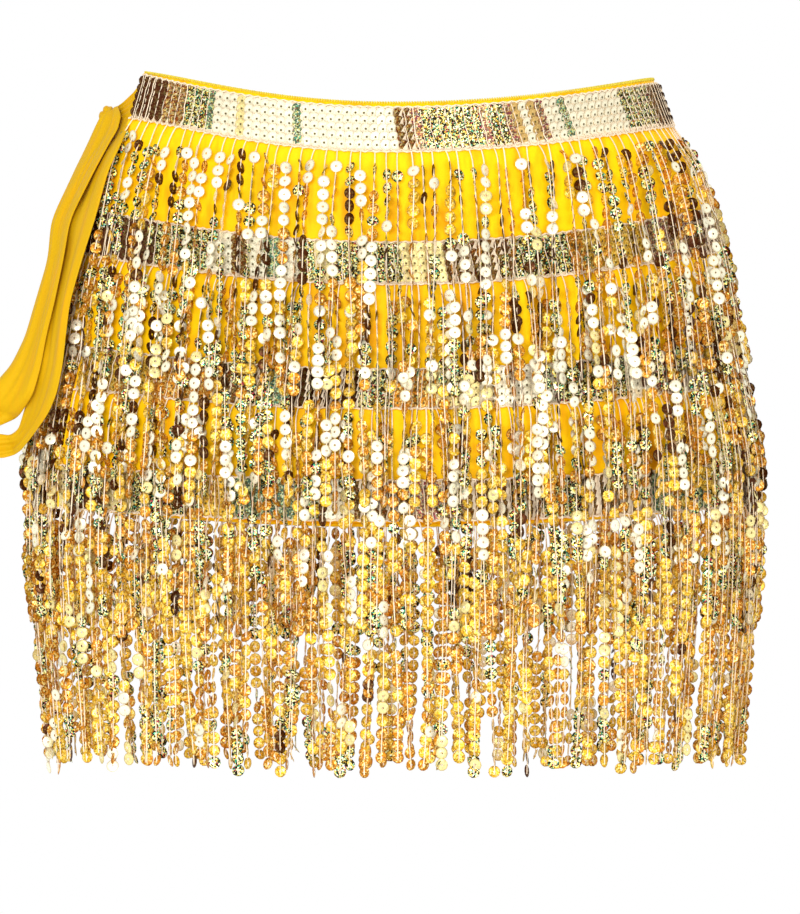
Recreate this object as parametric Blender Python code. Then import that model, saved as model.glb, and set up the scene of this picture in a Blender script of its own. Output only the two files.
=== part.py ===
"""A belly dance hip scarf in the hollow form that it has when it is worn.

A yellow chiffon panel goes once round the hips and laps over itself at one side, where a tie holds it.
Four lengths of sequin fringe trim are sewn round it, one below another.
+Z is up, -Y is the front, and the tie is on the -X side. The origin is the middle of the waist opening,
level with the panel's top edge at its sides.
Run it with blender --background --python part.py, or from Blender's text editor.
"""

import math
from collections import namedtuple

import bmesh
import bpy
import numpy as np
from mathutils import Vector

MM = 0.001

# The form of the scarf, a ring for each height, in millimetres. The drop is measured down from the top edge
# at the sides. The dips are how much lower the ring hangs at the centre front and back. The front end is the
# angle in degrees from the centre front to the panel's front end. The pull is the share of the tie's lift that
# reaches the ring. Below the hem only fringe hangs.
Ring = namedtuple("Ring", "drop half_width front_depth back_depth front_dip back_dip front_end pull")
RINGS = (
    Ring(0.0, 138.5, 94.0, 97.0, 16.0, 21.0, -67.5, 0.7),
    Ring(2.2, 139.5, 94.4, 97.6, 16.0, 21.0, -67.5, 0.74),
    Ring(25.5, 148.0, 98.5, 104.0, 16.5, 21.0, -67.0, 1.0),
    Ring(47.0, 161.5, 103.5, 111.0, 18.5, 21.5, -64.0, 0.6),
    Ring(69.5, 168.0, 108.5, 118.5, 20.0, 22.0, -62.0, 0.2),
    Ring(92.5, 173.5, 112.5, 125.5, 19.5, 21.5, -62.0, 0.08),
    Ring(116.0, 177.5, 115.5, 130.5, 18.0, 20.5, -61.5, 0.0),
    Ring(140.0, 180.5, 118.0, 134.0, 16.0, 19.0, -62.0, 0.0),
    Ring(163.5, 185.5, 120.0, 136.0, 13.5, 17.0, -63.5, 0.0),
    Ring(204.0, 192.0, 121.5, 137.0, 10.0, 14.5, -64.5, 0.0),
    Ring(227.5, 192.5, 121.5, 136.5, 8.0, 13.0, -65.0, 0.0),
    Ring(260.0, 191.0, 120.5, 135.0, 6.5, 11.0, -65.0, 0.0),
    Ring(300.0, 186.5, 118.0, 132.0, 5.0, 9.0, -65.0, 0.0),
    Ring(370.0, 177.5, 112.0, 125.0, 3.0, 6.0, -65.0, 0.0),
)
HEM_DROP = 227.5

# The soft upright troughs of the cloth, which deepen towards the hem.
Fold = namedtuple("Fold", "angle half_angle depth")
FOLDS = (
    Fold(-47.0, 13.0, 2.0),
    Fold(-21.0, 10.0, 1.4),
    Fold(3.0, 13.0, 1.8),
    Fold(31.0, 11.0, 1.5),
    Fold(58.0, 14.0, 2.2),
    Fold(97.0, 13.0, 1.7),
    Fold(131.0, 16.0, 2.6),
    Fold(168.0, 14.0, 2.2),
    Fold(203.0, 16.0, 2.6),
    Fold(243.0, 13.0, 1.8),
    Fold(271.0, 11.0, 1.4),
)

# The panel's grid runs from its front end once round to its back end, which lies under the front end.
COLUMNS = 50
LAP_ANGLE = 9.0
COLUMN_ANGLE = (360.0 + LAP_ANGLE) / COLUMNS
LAP_LIFT = 3.5
LIFTED_COLUMNS = 4.0
CLOTH_THICKNESS = 1.2
ROLLED_EDGE_PROUD = 0.7

# The tie pulls the waist up round its own side.
LIFT = 6.2
LIFT_ANGLE = -70.0
LIFT_REACH = 68.0
# The tie also draws the back end in and down under the front end, which hides it from the front.
TUCK_DEPTH = 10.5
TUCK_SINK = 5.0
TUCK_ANGLE = 338.0
TUCK_REACH = 42.0
TUCK_FULL_TO = 26.0
TUCK_FADES_BY = 66.0

SEAM_GAP = 0.35
BAND_THICKNESS = 1.15
FRINGE_THICKNESS = 1.6
FRINGE_STRIP_HEIGHT = 1.6
STRAND_WIDTH = 5.6
# A strand leans out by this much for each millimetre that it hangs, to lie over the trims below its own.
STRAND_LEAN = 0.041
ROOT_CLEARANCE = 0.35

# The fringe trims. The bends are the rings at which a strand changes direction as it follows the hips.
Trim = namedtuple("Trim", "number top bottom hang strands bends")
TRIMS = (
    Trim(1, 2.2, 25.5, 128.0, 48, (47.0, 69.5, 92.5, 116.0)),
    Trim(2, 69.5, 92.5, 128.0, 48, (116.0, 163.5, 204.0)),
    Trim(3, 140.0, 163.5, 128.0, 48, (204.0, 227.5, 260.0)),
    Trim(4, 204.0, 227.5, 137.0, 70, (260.0, 300.0)),
)
BAND_FIRST_COLUMN = 0.08
SAMPLES_PER_COLUMN = 6
# The height of the steps in which a strand's fall over the hips is worked out.
FALL_STEP = 2.0
BAND_LAST_COLUMN = COLUMNS - LAP_ANGLE / COLUMN_ANGLE - 0.35

# The tie's two tails, as their left and right edges seen from the front, from the knot down. Each row
# stands proud of the panel's outer face by its own amount, to lie over the fringe. The inner tail comes out
# from under the gathered end, and the outer tail lies over it.
StrapRow = namedtuple("StrapRow", "left_x left_z right_x right_z proud")
OUTER_TAIL = (
    StrapRow(-151.5, -15.8, -145.5, -15.6, 9.6),
    StrapRow(-155.8, -19.5, -144.5, -20.5, 10.2),
    StrapRow(-158.6, -26.5, -146.0, -28.0, 11.2),
    StrapRow(-161.8, -34.0, -150.0, -35.0, 12.8),
    StrapRow(-170.0, -51.3, -158.5, -51.3, 14.2),
    StrapRow(-181.6, -75.9, -171.0, -75.9, 14.6),
    StrapRow(-183.4, -97.0, -174.5, -97.0, 16.0),
    StrapRow(-190.5, -120.3, -179.5, -120.3, 17.0),
    StrapRow(-195.8, -138.0, -184.0, -138.0, 18.0),
    StrapRow(-203.2, -152.9, -187.0, -154.5, 18.6),
    StrapRow(-212.5, -163.5, -191.0, -169.0, 19.2),
    StrapRow(-221.5, -172.5, -199.0, -181.0, 19.3),
    StrapRow(-229.5, -178.5, -211.5, -186.5, 19.3),
)
INNER_TAIL = (
    StrapRow(-154.8, -26.5, -141.4, -25.0, 3.6),
    StrapRow(-159.4, -38.5, -148.0, -37.5, 8.2),
    StrapRow(-166.5, -54.0, -155.0, -51.3, 9.2),
    StrapRow(-178.0, -76.0, -160.5, -75.9, 10.2),
    StrapRow(-181.0, -97.0, -167.0, -97.0, 11.0),
    StrapRow(-184.0, -120.3, -171.3, -120.3, 12.0),
    StrapRow(-187.0, -138.0, -173.5, -138.0, 12.5),
    StrapRow(-188.5, -153.0, -175.0, -152.9, 13.0),
    StrapRow(-193.0, -166.0, -178.0, -168.0, 13.0),
    StrapRow(-196.3, -177.5, -182.6, -179.0, 13.0),
    StrapRow(-199.0, -187.0, -190.5, -190.0, 13.0),
    StrapRow(-203.5, -190.5, -198.5, -200.0, 13.0),
    StrapRow(-210.0, -189.5, -208.0, -203.0, 13.0),
    StrapRow(-216.5, -191.0, -215.5, -201.0, 13.0),
)
STRAP_THICKNESS = 1.2
STRAP_COLUMNS = 6
STRAP_FOLDS = 1.5
STRAP_FOLD_DEPTH = 0.8
# A strap narrower than this has flatter folds.
FULL_FOLD_WIDTH = 16.0
SIDE_ROUNDING = 0.05

# The gathered end of the tie, from the panel's front end to the knot, on the panel's own grid.
CornerRow = namedtuple("CornerRow", "column top bottom out")
CORNER = (
    CornerRow(-0.04, 1.0, 25.0, -0.6),
    CornerRow(-0.25, 7.0, 26.0, -0.5),
    CornerRow(-0.5, 12.0, 27.5, -0.4),
    CornerRow(-1.0, 17.5, 29.0, 0.2),
    CornerRow(-1.34, 20.0, 29.5, 0.9),
)
CORNER_FOLD_DEPTH = 0.6

KNOT_CENTRE = (-151.9, -18.0, -21.5)
KNOT_RADII = (4.8, 7.0, 6.6)
KNOT_CREASE = 0.12
KNOT_CREASE_WIDTH = 0.3
SHARP_ANGLE = math.radians(40.0)

YELLOW = (1.0, 0.55, 0.003)
GOLD = (0.72, 0.50, 0.12)
STRAND_GOLD = (0.78, 0.45, 0.06)


def ring_value(column_name, drop):
    """One column of the ring table at any drop, on straight lines between the rings."""
    drops = [ring.drop for ring in RINGS]
    return float(np.interp(drop, drops, [getattr(ring, column_name) for ring in RINGS]))


def angle_between(first, second):
    """The smaller angle from one direction to another, in degrees."""
    return abs((first - second + 180.0) % 360.0 - 180.0)


def fold_depth(angle, drop):
    """How far the cloth lies inside its plain ring."""
    share = min(1.0, drop / HEM_DROP) ** 1.5
    depth = 0.0
    for fold in FOLDS:
        away = angle_between(angle, fold.angle) / fold.half_angle
        if away < 1.0:
            depth += fold.depth * share * math.cos(0.5 * math.pi * away) ** 2
    return depth


def tuck(column, drop):
    """The share of the tuck that a point takes, on the stretch that leads to the panel's back end."""
    near = max(0.0, 1.0 - abs(column * COLUMN_ANGLE - TUCK_ANGLE) / TUCK_REACH)
    down = min(1.0, max(0.0, (drop - TUCK_FULL_TO) / (TUCK_FADES_BY - TUCK_FULL_TO)))
    return math.sin(0.5 * math.pi * near) ** 2 * (1.0 - down * down * (3.0 - 2.0 * down))


def station(column, drop, out):
    """The point of one grid column on one ring, moved out level from the panel's outer face."""
    angle = ring_value("front_end", drop) + column * COLUMN_ANGLE
    turn = math.radians(angle)
    wide = ring_value("half_width", drop)
    deep = ring_value("front_depth" if math.cos(turn) > 0.0 else "back_depth", drop)
    outward = Vector((deep * math.sin(turn), -wide * math.cos(turn), 0.0)).normalized()
    lap = LAP_LIFT * min(1.0, max(0.0, 1.0 - column / LIFTED_COLUMNS)) ** 2
    dip = ring_value("front_dip" if math.cos(turn) > 0.0 else "back_dip", drop) * math.cos(turn) ** 2
    from_lift = min(1.0, angle_between(angle, LIFT_ANGLE) / LIFT_REACH)
    lift = LIFT * ring_value("pull", drop) * math.cos(0.5 * math.pi * from_lift) ** 2
    tucked = tuck(column, drop)
    height = lift - dip - drop - TUCK_SINK * tucked
    on_ring = Vector((wide * math.sin(turn), -deep * math.cos(turn), height))
    return on_ring + outward * (out + lap - fold_depth(angle, drop) - TUCK_DEPTH * tucked)


def on_panel(column, drop, out):
    """A point on the panel's flat facets, moved out from its outer face, at any column and drop."""
    drops = [ring.drop for ring in RINGS]
    upper = max(value for value in drops if value <= drop)
    lower = min([value for value in drops if value > upper] or [upper])
    down = (drop - upper) / (lower - upper) if lower > upper else 0.0
    first = math.floor(column)
    along = column - first
    top = station(first, upper, out).lerp(station(first + 1, upper, out), along)
    bottom = station(first, lower, out).lerp(station(first + 1, lower, out), along)
    return top.lerp(bottom, down)


def material(name, colour, roughness, metallic):
    made = bpy.data.materials.new(name)
    made.use_nodes = True
    shader = made.node_tree.nodes["Principled BSDF"]
    shader.inputs["Base Color"].default_value = (*colour, 1.0)
    shader.inputs["Roughness"].default_value = roughness
    shader.inputs["Metallic"].default_value = metallic
    made.diffuse_color = (*colour, 1.0)
    return made


def add_object(name, mesh, finish):
    """Makes a named object of a bmesh held in millimetres, with its faces turned outwards."""
    bmesh.ops.recalc_face_normals(mesh, faces=mesh.faces)
    bmesh.ops.scale(mesh, vec=(MM, MM, MM), verts=mesh.verts)
    data = bpy.data.meshes.new(name)
    mesh.to_mesh(data)
    mesh.free()
    data.shade_smooth()
    data.set_sharp_from_angle(angle=SHARP_ANGLE)
    data.materials.append(finish)
    made = bpy.data.objects.new(name, data)
    bpy.context.scene.collection.objects.link(made)
    return made


def closed_wall(across, along, point):
    """A wall with an inner and an outer face and four rims, from point(i, j, is_outer)."""
    mesh = bmesh.new()
    faces = {}
    for is_outer in (False, True):
        faces[is_outer] = [
            [mesh.verts.new(point(i, j, is_outer)) for j in range(along)] for i in range(across)
        ]
    inner = faces[False]
    outer = faces[True]
    for i in range(across - 1):
        for j in range(along - 1):
            mesh.faces.new((outer[i][j], outer[i + 1][j], outer[i + 1][j + 1], outer[i][j + 1]))
            mesh.faces.new((inner[i][j], inner[i][j + 1], inner[i + 1][j + 1], inner[i + 1][j]))
        for j in (0, along - 1):
            mesh.faces.new((outer[i][j], inner[i][j], inner[i + 1][j], outer[i + 1][j]))
    for j in range(along - 1):
        for i in (0, across - 1):
            mesh.faces.new((outer[i][j], outer[i][j + 1], inner[i][j + 1], inner[i][j]))
    return mesh


def add_wrap_panel(cloth):
    """The yellow panel, thicker at its rolled top edge."""
    drops = [ring.drop for ring in RINGS if ring.drop <= HEM_DROP]

    def point(i, j, is_outer):
        outer_face = ROLLED_EDGE_PROUD if j == 0 else 0.0
        return station(i, drops[j], outer_face if is_outer else -CLOTH_THICKNESS)

    return add_object("wrap_panel", closed_wall(COLUMNS + 1, len(drops), point), cloth)


def add_band(trim, sequins):
    """The header band of one trim, made from the panel's own points, moved out."""
    columns = [BAND_FIRST_COLUMN]
    columns += [float(column) for column in range(1, COLUMNS) if column < BAND_LAST_COLUMN]
    columns += [BAND_LAST_COLUMN]
    drops = (trim.top + SEAM_GAP, trim.bottom)

    def point(i, j, is_outer):
        return on_panel(columns[i], drops[j], SEAM_GAP + (BAND_THICKNESS if is_outer else 0.0))

    return add_object(f"band_{trim.number}", closed_wall(len(columns), 2, point), sequins)


def spaced_columns(count, drop, margin):
    """Columns for a number of strands that stand evenly apart along one ring."""
    fine = np.linspace(BAND_FIRST_COLUMN, BAND_LAST_COLUMN, COLUMNS * SAMPLES_PER_COLUMN)
    points = np.array([on_panel(column, drop, 0.0) for column in fine])
    lengths = np.concatenate([[0.0], np.cumsum(np.linalg.norm(np.diff(points, axis=0), axis=1))])
    return np.interp(np.linspace(margin, lengths[-1] - margin, count), lengths, fine)


def falling_column(column, drop, lower):
    """The column at which a strand that hangs freely over the hips reaches a lower ring.

    A ring that is wider than the one above pushes the strand straight out from it, and never sideways.
    """
    angle = ring_value("front_end", drop) + column * COLUMN_ANGLE
    steps = max(1, round((lower - drop) / FALL_STEP))
    step = (lower - drop) / steps
    for i in range(steps):
        here = drop + i * step
        turn = math.radians(angle)
        deep_name = "front_depth" if math.cos(turn) > 0.0 else "back_depth"
        wide = ring_value("half_width", here)
        deep = ring_value(deep_name, here)
        wider = ring_value("half_width", here + step) - wide
        deeper = ring_value(deep_name, here + step) - deep
        push = math.sin(turn) * math.cos(turn) * (deep * deeper - wide * wider)
        angle += math.degrees(push / ((wide * math.cos(turn)) ** 2 + (deep * math.sin(turn)) ** 2))
    return (angle - ring_value("front_end", lower)) / COLUMN_ANGLE


def column_width(column, drop):
    """The level distance that one column spans near a point of the panel."""
    return (on_panel(column + 0.5, drop, 0.0) - on_panel(column - 0.5, drop, 0.0)).length


def add_fringe(trim, strand_finish):
    """The narrow strip below a band and the strands that hang from it, extruded from its lower face."""
    root = trim.bottom + SEAM_GAP
    foot = root + FRINGE_STRIP_HEIGHT
    middles = spaced_columns(trim.strands, foot, STRAND_WIDTH)
    mesh = bmesh.new()
    strand_of = mesh.verts.layers.int.new("strand")
    side_of = mesh.verts.layers.float.new("side")
    out_of = mesh.verts.layers.float.new("out")
    corners = ((root, 0.0), (root, FRINGE_THICKNESS), (foot, FRINGE_THICKNESS), (foot, 0.0))
    lower_side = 2
    sections = []
    for number, middle in enumerate(middles):
        half = 0.5 * STRAND_WIDTH / column_width(middle, foot)
        for side in (-1.0, 1.0):
            section = []
            for drop, out in corners:
                vert = mesh.verts.new(on_panel(middle + side * half, drop, SEAM_GAP + ROOT_CLEARANCE + out))
                vert[strand_of] = number
                vert[side_of] = side
                vert[out_of] = out
                section.append(vert)
            sections.append(section)
    roots = []
    for here, there in zip(sections, sections[1:]):
        for k in range(4):
            face = mesh.faces.new((here[k], here[(k + 1) % 4], there[(k + 1) % 4], there[k]))
            if k == lower_side and here[0][strand_of] == there[0][strand_of]:
                roots.append(face)
    mesh.faces.new(sections[0])
    mesh.faces.new(sections[-1])
    columns = list(middles)
    above = foot
    for drop in (*trim.bends, foot + trim.hang):
        columns = [falling_column(column, above, drop) for column in columns]
        roots = bmesh.ops.extrude_discrete_faces(mesh, faces=roots)["faces"]
        for face in roots:
            for vert in face.verts:
                middle = columns[vert[strand_of]]
                half = 0.5 * STRAND_WIDTH / column_width(middle, drop)
                lean = SEAM_GAP + ROOT_CLEARANCE + STRAND_LEAN * (drop - foot)
                vert.co = on_panel(middle + vert[side_of] * half, drop, lean + vert[out_of])
        above = drop
    return add_object(f"fringe_{trim.number}", mesh, strand_finish)


def side_front(x, z, proud):
    """How far forward a point at the tied side lies, if it stands proud of the panel by this much."""
    wide = ring_value("half_width", -z) + proud
    deep = ring_value("front_depth", -z) + proud
    return -deep * math.sqrt(max(SIDE_ROUNDING, 1.0 - (x / wide) ** 2))


def add_strap(name, edges, fold_depth_mm, cloth):
    """A strap as a wall with soft lengthwise folds, through rows of its two edges and outward direction."""

    def point(i, j, is_outer):
        left, right, outward = edges[j]
        share = i / STRAP_COLUMNS
        fold = fold_depth_mm * math.sin(2.0 * math.pi * STRAP_FOLDS * share)
        fold *= min(1.0, (right - left).length / FULL_FOLD_WIDTH)
        face = 0.5 * STRAP_THICKNESS if is_outer else -0.5 * STRAP_THICKNESS
        return left.lerp(right, share) + outward * (fold + face)

    return add_object(name, closed_wall(STRAP_COLUMNS + 1, len(edges), point), cloth)


def tail_edges(rows):
    """The edges of a tail that lies over the fringe at the tied side."""
    edges = []
    for row in rows:
        left = Vector((row.left_x, side_front(row.left_x, row.left_z, row.proud), row.left_z))
        right = Vector((row.right_x, side_front(row.right_x, row.right_z, row.proud), row.right_z))
        along = right - left
        edges.append((left, right, Vector((along.y, -along.x, 0.0)).normalized()))
    return edges


def corner_edges():
    """The edges of the gathered end, which starts just clear of the panel's front end."""
    edges = []
    for row in CORNER:
        top = station(row.column, row.top, row.out)
        bottom = station(row.column, row.bottom, row.out)
        outward = (station(row.column, row.top, row.out + 1.0) - top).normalized()
        edges.append((top, bottom, outward))
    return edges


def add_knot(cloth):
    """The knot, a small lump with a crease where the two straps cross."""
    mesh = bmesh.new()
    bmesh.ops.create_icosphere(mesh, subdivisions=3, radius=1.0)
    for vert in mesh.verts:
        crease = 1.0 - KNOT_CREASE * math.exp(-((vert.co.x + vert.co.z) / KNOT_CREASE_WIDTH) ** 2)
        vert.co = Vector(vert.co[k] * KNOT_RADII[k] * crease + KNOT_CENTRE[k] for k in range(3))
    return add_object("tie_knot", mesh, cloth)


def main():
    for old in list(bpy.data.objects):
        bpy.data.objects.remove(old, do_unlink=True)
    cloth = material("yellow chiffon", YELLOW, 0.75, 0.0)
    band_finish = material("sequin band", GOLD, 0.25, 0.6)
    strand_finish = material("sequin strands", STRAND_GOLD, 0.3, 0.5)
    add_wrap_panel(cloth)
    for trim in TRIMS:
        add_band(trim, band_finish)
        add_fringe(trim, strand_finish)
    add_strap("tie_corner", corner_edges(), CORNER_FOLD_DEPTH, cloth)
    add_knot(cloth)
    add_strap("tie_tail_outer", tail_edges(OUTER_TAIL), STRAP_FOLD_DEPTH, cloth)
    add_strap("tie_tail_inner", tail_edges(INNER_TAIL), STRAP_FOLD_DEPTH, cloth)


main()
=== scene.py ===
"""Dresses a belly dance hip scarf: yellow chiffon, four sequin bands, their sequin fringe and the tie.

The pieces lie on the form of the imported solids. Sizes in the tables are in millimetres, +Z is up, -Y is the
front and the tie is on the -X side. The cloth and the sequins are placed by formula over that form, and every
sequin is a copy of one that is modelled once.
"""

import math
from collections import namedtuple

import bpy
import numpy as np
from bpy.props import FloatProperty, FloatVectorProperty, IntProperty, PointerProperty
from mathutils import Matrix, Vector


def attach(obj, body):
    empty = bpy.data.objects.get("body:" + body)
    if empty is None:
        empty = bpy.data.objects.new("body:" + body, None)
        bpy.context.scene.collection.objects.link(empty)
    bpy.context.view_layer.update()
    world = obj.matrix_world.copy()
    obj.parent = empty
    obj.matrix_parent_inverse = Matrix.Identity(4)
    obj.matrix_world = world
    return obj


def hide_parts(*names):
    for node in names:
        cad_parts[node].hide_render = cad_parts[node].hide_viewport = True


bl_info = {
    "name": "Sequin hip scarf",
    "version": (1, 0, 0),
    "blender": (4, 5, 0),
    "location": "View3D > Sidebar > Hip scarf",
    "description": "Builds the cloth, sequin bands, sequin fringe and tie of a hip scarf",
    "category": "Add Mesh",
}

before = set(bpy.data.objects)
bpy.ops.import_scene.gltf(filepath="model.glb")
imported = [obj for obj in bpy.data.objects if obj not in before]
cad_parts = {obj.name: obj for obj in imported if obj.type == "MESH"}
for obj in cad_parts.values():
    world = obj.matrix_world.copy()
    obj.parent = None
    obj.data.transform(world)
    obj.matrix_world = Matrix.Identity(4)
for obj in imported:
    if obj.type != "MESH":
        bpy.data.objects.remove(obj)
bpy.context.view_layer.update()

MM = 0.001

# The form of the scarf, a ring for each height. The drop is measured down from the top edge at the sides, and
# the pull is the share of the tie's lift that reaches the ring.
Ring = namedtuple("Ring", "drop half_width front_depth back_depth front_dip back_dip front_end pull")
RINGS = (
    Ring(0.0, 138.5, 94.0, 97.0, 16.0, 21.0, -67.5, 0.7),
    Ring(2.2, 139.5, 94.4, 97.6, 16.0, 21.0, -67.5, 0.74),
    Ring(25.5, 148.0, 98.5, 104.0, 16.5, 21.0, -67.0, 1.0),
    Ring(47.0, 161.5, 103.5, 111.0, 18.5, 21.5, -64.0, 0.6),
    Ring(69.5, 168.0, 108.5, 118.5, 20.0, 22.0, -62.0, 0.2),
    Ring(92.5, 173.5, 112.5, 125.5, 19.5, 21.5, -62.0, 0.08),
    Ring(116.0, 177.5, 115.5, 130.5, 18.0, 20.5, -61.5, 0.0),
    Ring(140.0, 180.5, 118.0, 134.0, 16.0, 19.0, -62.0, 0.0),
    Ring(163.5, 185.5, 120.0, 136.0, 13.5, 17.0, -63.5, 0.0),
    Ring(204.0, 192.0, 121.5, 137.0, 10.0, 14.5, -64.5, 0.0),
    Ring(227.5, 192.5, 121.5, 136.5, 8.0, 13.0, -65.0, 0.0),
    Ring(260.0, 191.0, 120.5, 135.0, 6.5, 11.0, -65.0, 0.0),
    Ring(300.0, 186.5, 118.0, 132.0, 5.0, 9.0, -65.0, 0.0),
    Ring(370.0, 177.5, 112.0, 125.0, 3.0, 6.0, -65.0, 0.0),
)
HEM_DROP = 227.5
LONGEST_DROP = 400
SMOOTHING = 21
# A line round the form is measured in this many steps.
LINE_STEPS = 1500

# The soft upright troughs of the cloth, which deepen towards the hem by this power of the drop.
FOLDS_DEEPEN = 1.5
Fold = namedtuple("Fold", "angle half_angle depth")
FOLDS = (
    Fold(-47.0, 13.0, 2.0),
    Fold(-21.0, 10.0, 1.4),
    Fold(3.0, 13.0, 1.8),
    Fold(31.0, 11.0, 1.5),
    Fold(58.0, 14.0, 2.2),
    Fold(97.0, 13.0, 1.7),
    Fold(131.0, 16.0, 2.6),
    Fold(168.0, 14.0, 2.2),
    Fold(203.0, 16.0, 2.6),
    Fold(243.0, 13.0, 1.8),
    Fold(271.0, 11.0, 1.4),
)
# Finer ripples between the troughs, uneven in width and depth.
Ripple = namedtuple("Ripple", "waves phase depth")
RIPPLES = (Ripple(17, 0.4, 0.35), Ripple(29, 1.9, 0.25), Ripple(43, 4.1, 0.12))

# The panel runs this many degrees round, from its front end to its back end under the front end.
PANEL_ANGLE = 369.0
LAP_ANGLE = 9.0
LAP_LIFT = 3.5
LIFTED_ANGLE = 29.5
# The tie pulls the waist up round its own side.
LIFT = 6.2
LIFT_ANGLE = -70.0
LIFT_REACH = 68.0
# The tie also draws the back end in and down under the front end.
TUCK_DEPTH = 10.5
TUCK_SINK = 5.0
TUCK_ANGLE = 338.0
TUCK_REACH = 42.0
TUCK_FULL_TO = 26.0
TUCK_FADES_BY = 66.0

# The fringe trims, each a band of sequins with strands that hang from its lower edge.
Trim = namedtuple("Trim", "number top bottom hang closeness")
TRIMS = (
    Trim(1, 2.2, 25.5, 128.0, 1.0),
    Trim(2, 69.5, 92.5, 128.0, 0.9),
    Trim(3, 140.0, 163.5, 128.0, 0.88),
    Trim(4, 204.0, 227.5, 137.0, 0.88),
)
BAND_STARTS = 0.6
BAND_ENDS = PANEL_ANGLE - LAP_ANGLE - 2.6
# The top band climbs to the panel's edge at its front end.
END_RISE = 1.5
END_RISE_ANGLE = 22.0

# The finishes of the sequins: a tint, the share of dark and bright flakes, and how much painted sparkle the
# tint takes, as glints of light and dim facets in shade.
Look = namedtuple("Look", "tint flakes glitter")
LOOKS = {
    "cream": Look((0.98, 0.925, 0.69), 0.0, 0.0),
    "speckle": Look((0.75, 0.55, 0.15), 1.0, 0.0),
    "gold": Look((1.0, 0.56, 0.025), 0.12, 0.85),
    "amber": Look((0.74, 0.27, 0.010), 0.05, 0.85),
    "brown": Look((0.075, 0.018, 0.003), 0.0, 0.10),
    "ember": Look((0.28, 0.06, 0.007), 0.28, 0.5),
    "rose": Look((0.45, 0.10, 0.13), 0.55, 0.3),
    "teal": Look((0.16, 0.42, 0.30), 0.65, 0.3),
    "tan": Look((0.62, 0.40, 0.13), 0.05, 0.2),
    "straw": Look((0.97, 0.82, 0.36), 0.12, 0.3),
}
# How often each finish comes in the sequins that face out, from the waist down to the fringe's ends: a mix of
# real finishes, leaning to cream partly as a painted reflection of the lights.
Share = namedtuple("Share", "height cream speckle gold amber brown straw")
FACE_ON_SHARES_WITH_PAINTED_REFLECTION = (
    Share(0.0, 0.50, 0.36, 0.03, 0.04, 0.05, 0.02),
    Share(-100.0, 0.43, 0.31, 0.10, 0.08, 0.05, 0.03),
    Share(-180.0, 0.33, 0.24, 0.20, 0.15, 0.05, 0.03),
    Share(-240.0, 0.14, 0.17, 0.38, 0.24, 0.03, 0.04),
    Share(-300.0, 0.04, 0.15, 0.50, 0.24, 0.01, 0.06),
    Share(-380.0, 0.03, 0.16, 0.50, 0.22, 0.01, 0.08),
)
# The share of sequins that face out, at each depth below the waist.
FACING_HEIGHTS = (0.0, 150.0, 260.0, 370.0)
FACING_SHARES = (0.50, 0.54, 0.64, 0.72)
EDGE_SPREADS = (12.0, 22.0, 34.0, 40.0)
# The same for the sequins that stand edge on, leaning to dark amber and brown as painted shade.
EDGE_ON_SHARES_WITH_PAINTED_SHADE = (
    Share(0.0, 0.02, 0.30, 0.08, 0.34, 0.24, 0.02),
    Share(-100.0, 0.02, 0.28, 0.10, 0.36, 0.22, 0.02),
    Share(-180.0, 0.02, 0.24, 0.16, 0.38, 0.18, 0.02),
    Share(-240.0, 0.02, 0.18, 0.28, 0.40, 0.09, 0.03),
    Share(-300.0, 0.02, 0.14, 0.38, 0.38, 0.04, 0.04),
    Share(-380.0, 0.02, 0.14, 0.40, 0.36, 0.04, 0.04),
)
# The finishes along the front of the top two bands, each up to an x seen from the front.
Run = namedtuple("Run", "band x_end look")
FRONT_RUNS = (
    Run(1, -117.0, "brown"),
    Run(1, -106.0, "ember"),
    Run(1, -93.0, "speckle"),
    Run(1, -89.5, "teal"),
    Run(1, -81.5, "cream"),
    Run(1, -77.5, "straw"),
    Run(1, -53.0, "cream"),
    Run(1, -48.5, "teal"),
    Run(1, 2.5, "cream"),
    Run(1, 8.5, "ember"),
    Run(1, 13.0, "rose"),
    Run(1, 46.0, "speckle"),
    Run(1, 50.5, "rose"),
    Run(1, 58.5, "speckle"),
    Run(1, 63.5, "rose"),
    Run(1, 67.5, "tan"),
    Run(1, 71.5, "cream"),
    Run(1, 75.5, "tan"),
    Run(1, 79.5, "rose"),
    Run(1, 84.0, "cream"),
    Run(1, 90.5, "teal"),
    Run(1, 117.0, "cream"),
    Run(1, 132.0, "speckle"),
    Run(1, 136.0, "ember"),
    Run(1, 160.0, "brown"),
    Run(2, -122.0, "brown"),
    Run(2, -97.0, "speckle"),
    Run(2, -82.0, "cream"),
    Run(2, -75.5, "ember"),
    Run(2, -64.0, "cream"),
    Run(2, -58.0, "teal"),
    Run(2, -49.0, "cream"),
    Run(2, -38.0, "speckle"),
    Run(2, -30.0, "straw"),
)
HIDDEN_RUN_LOOKS = ("speckle", "cream", "amber", "speckle", "ember", "gold", "straw", "rose", "brown", "teal")
LONGEST_RUN = 10
# Brown and ember sequins stand more edge on than the others, in degrees.
BROWN_TURN = 36.0
# How proud of the cloth the thread beside a column lies, on its finish.
THREAD_OUTS = {"brown": 2.75, "ember": 2.75, "cream": 1.35, "straw": 1.35}
USUAL_THREAD_OUT = 1.85
CLOSE_SEWN_COLUMNS = 3

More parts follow.
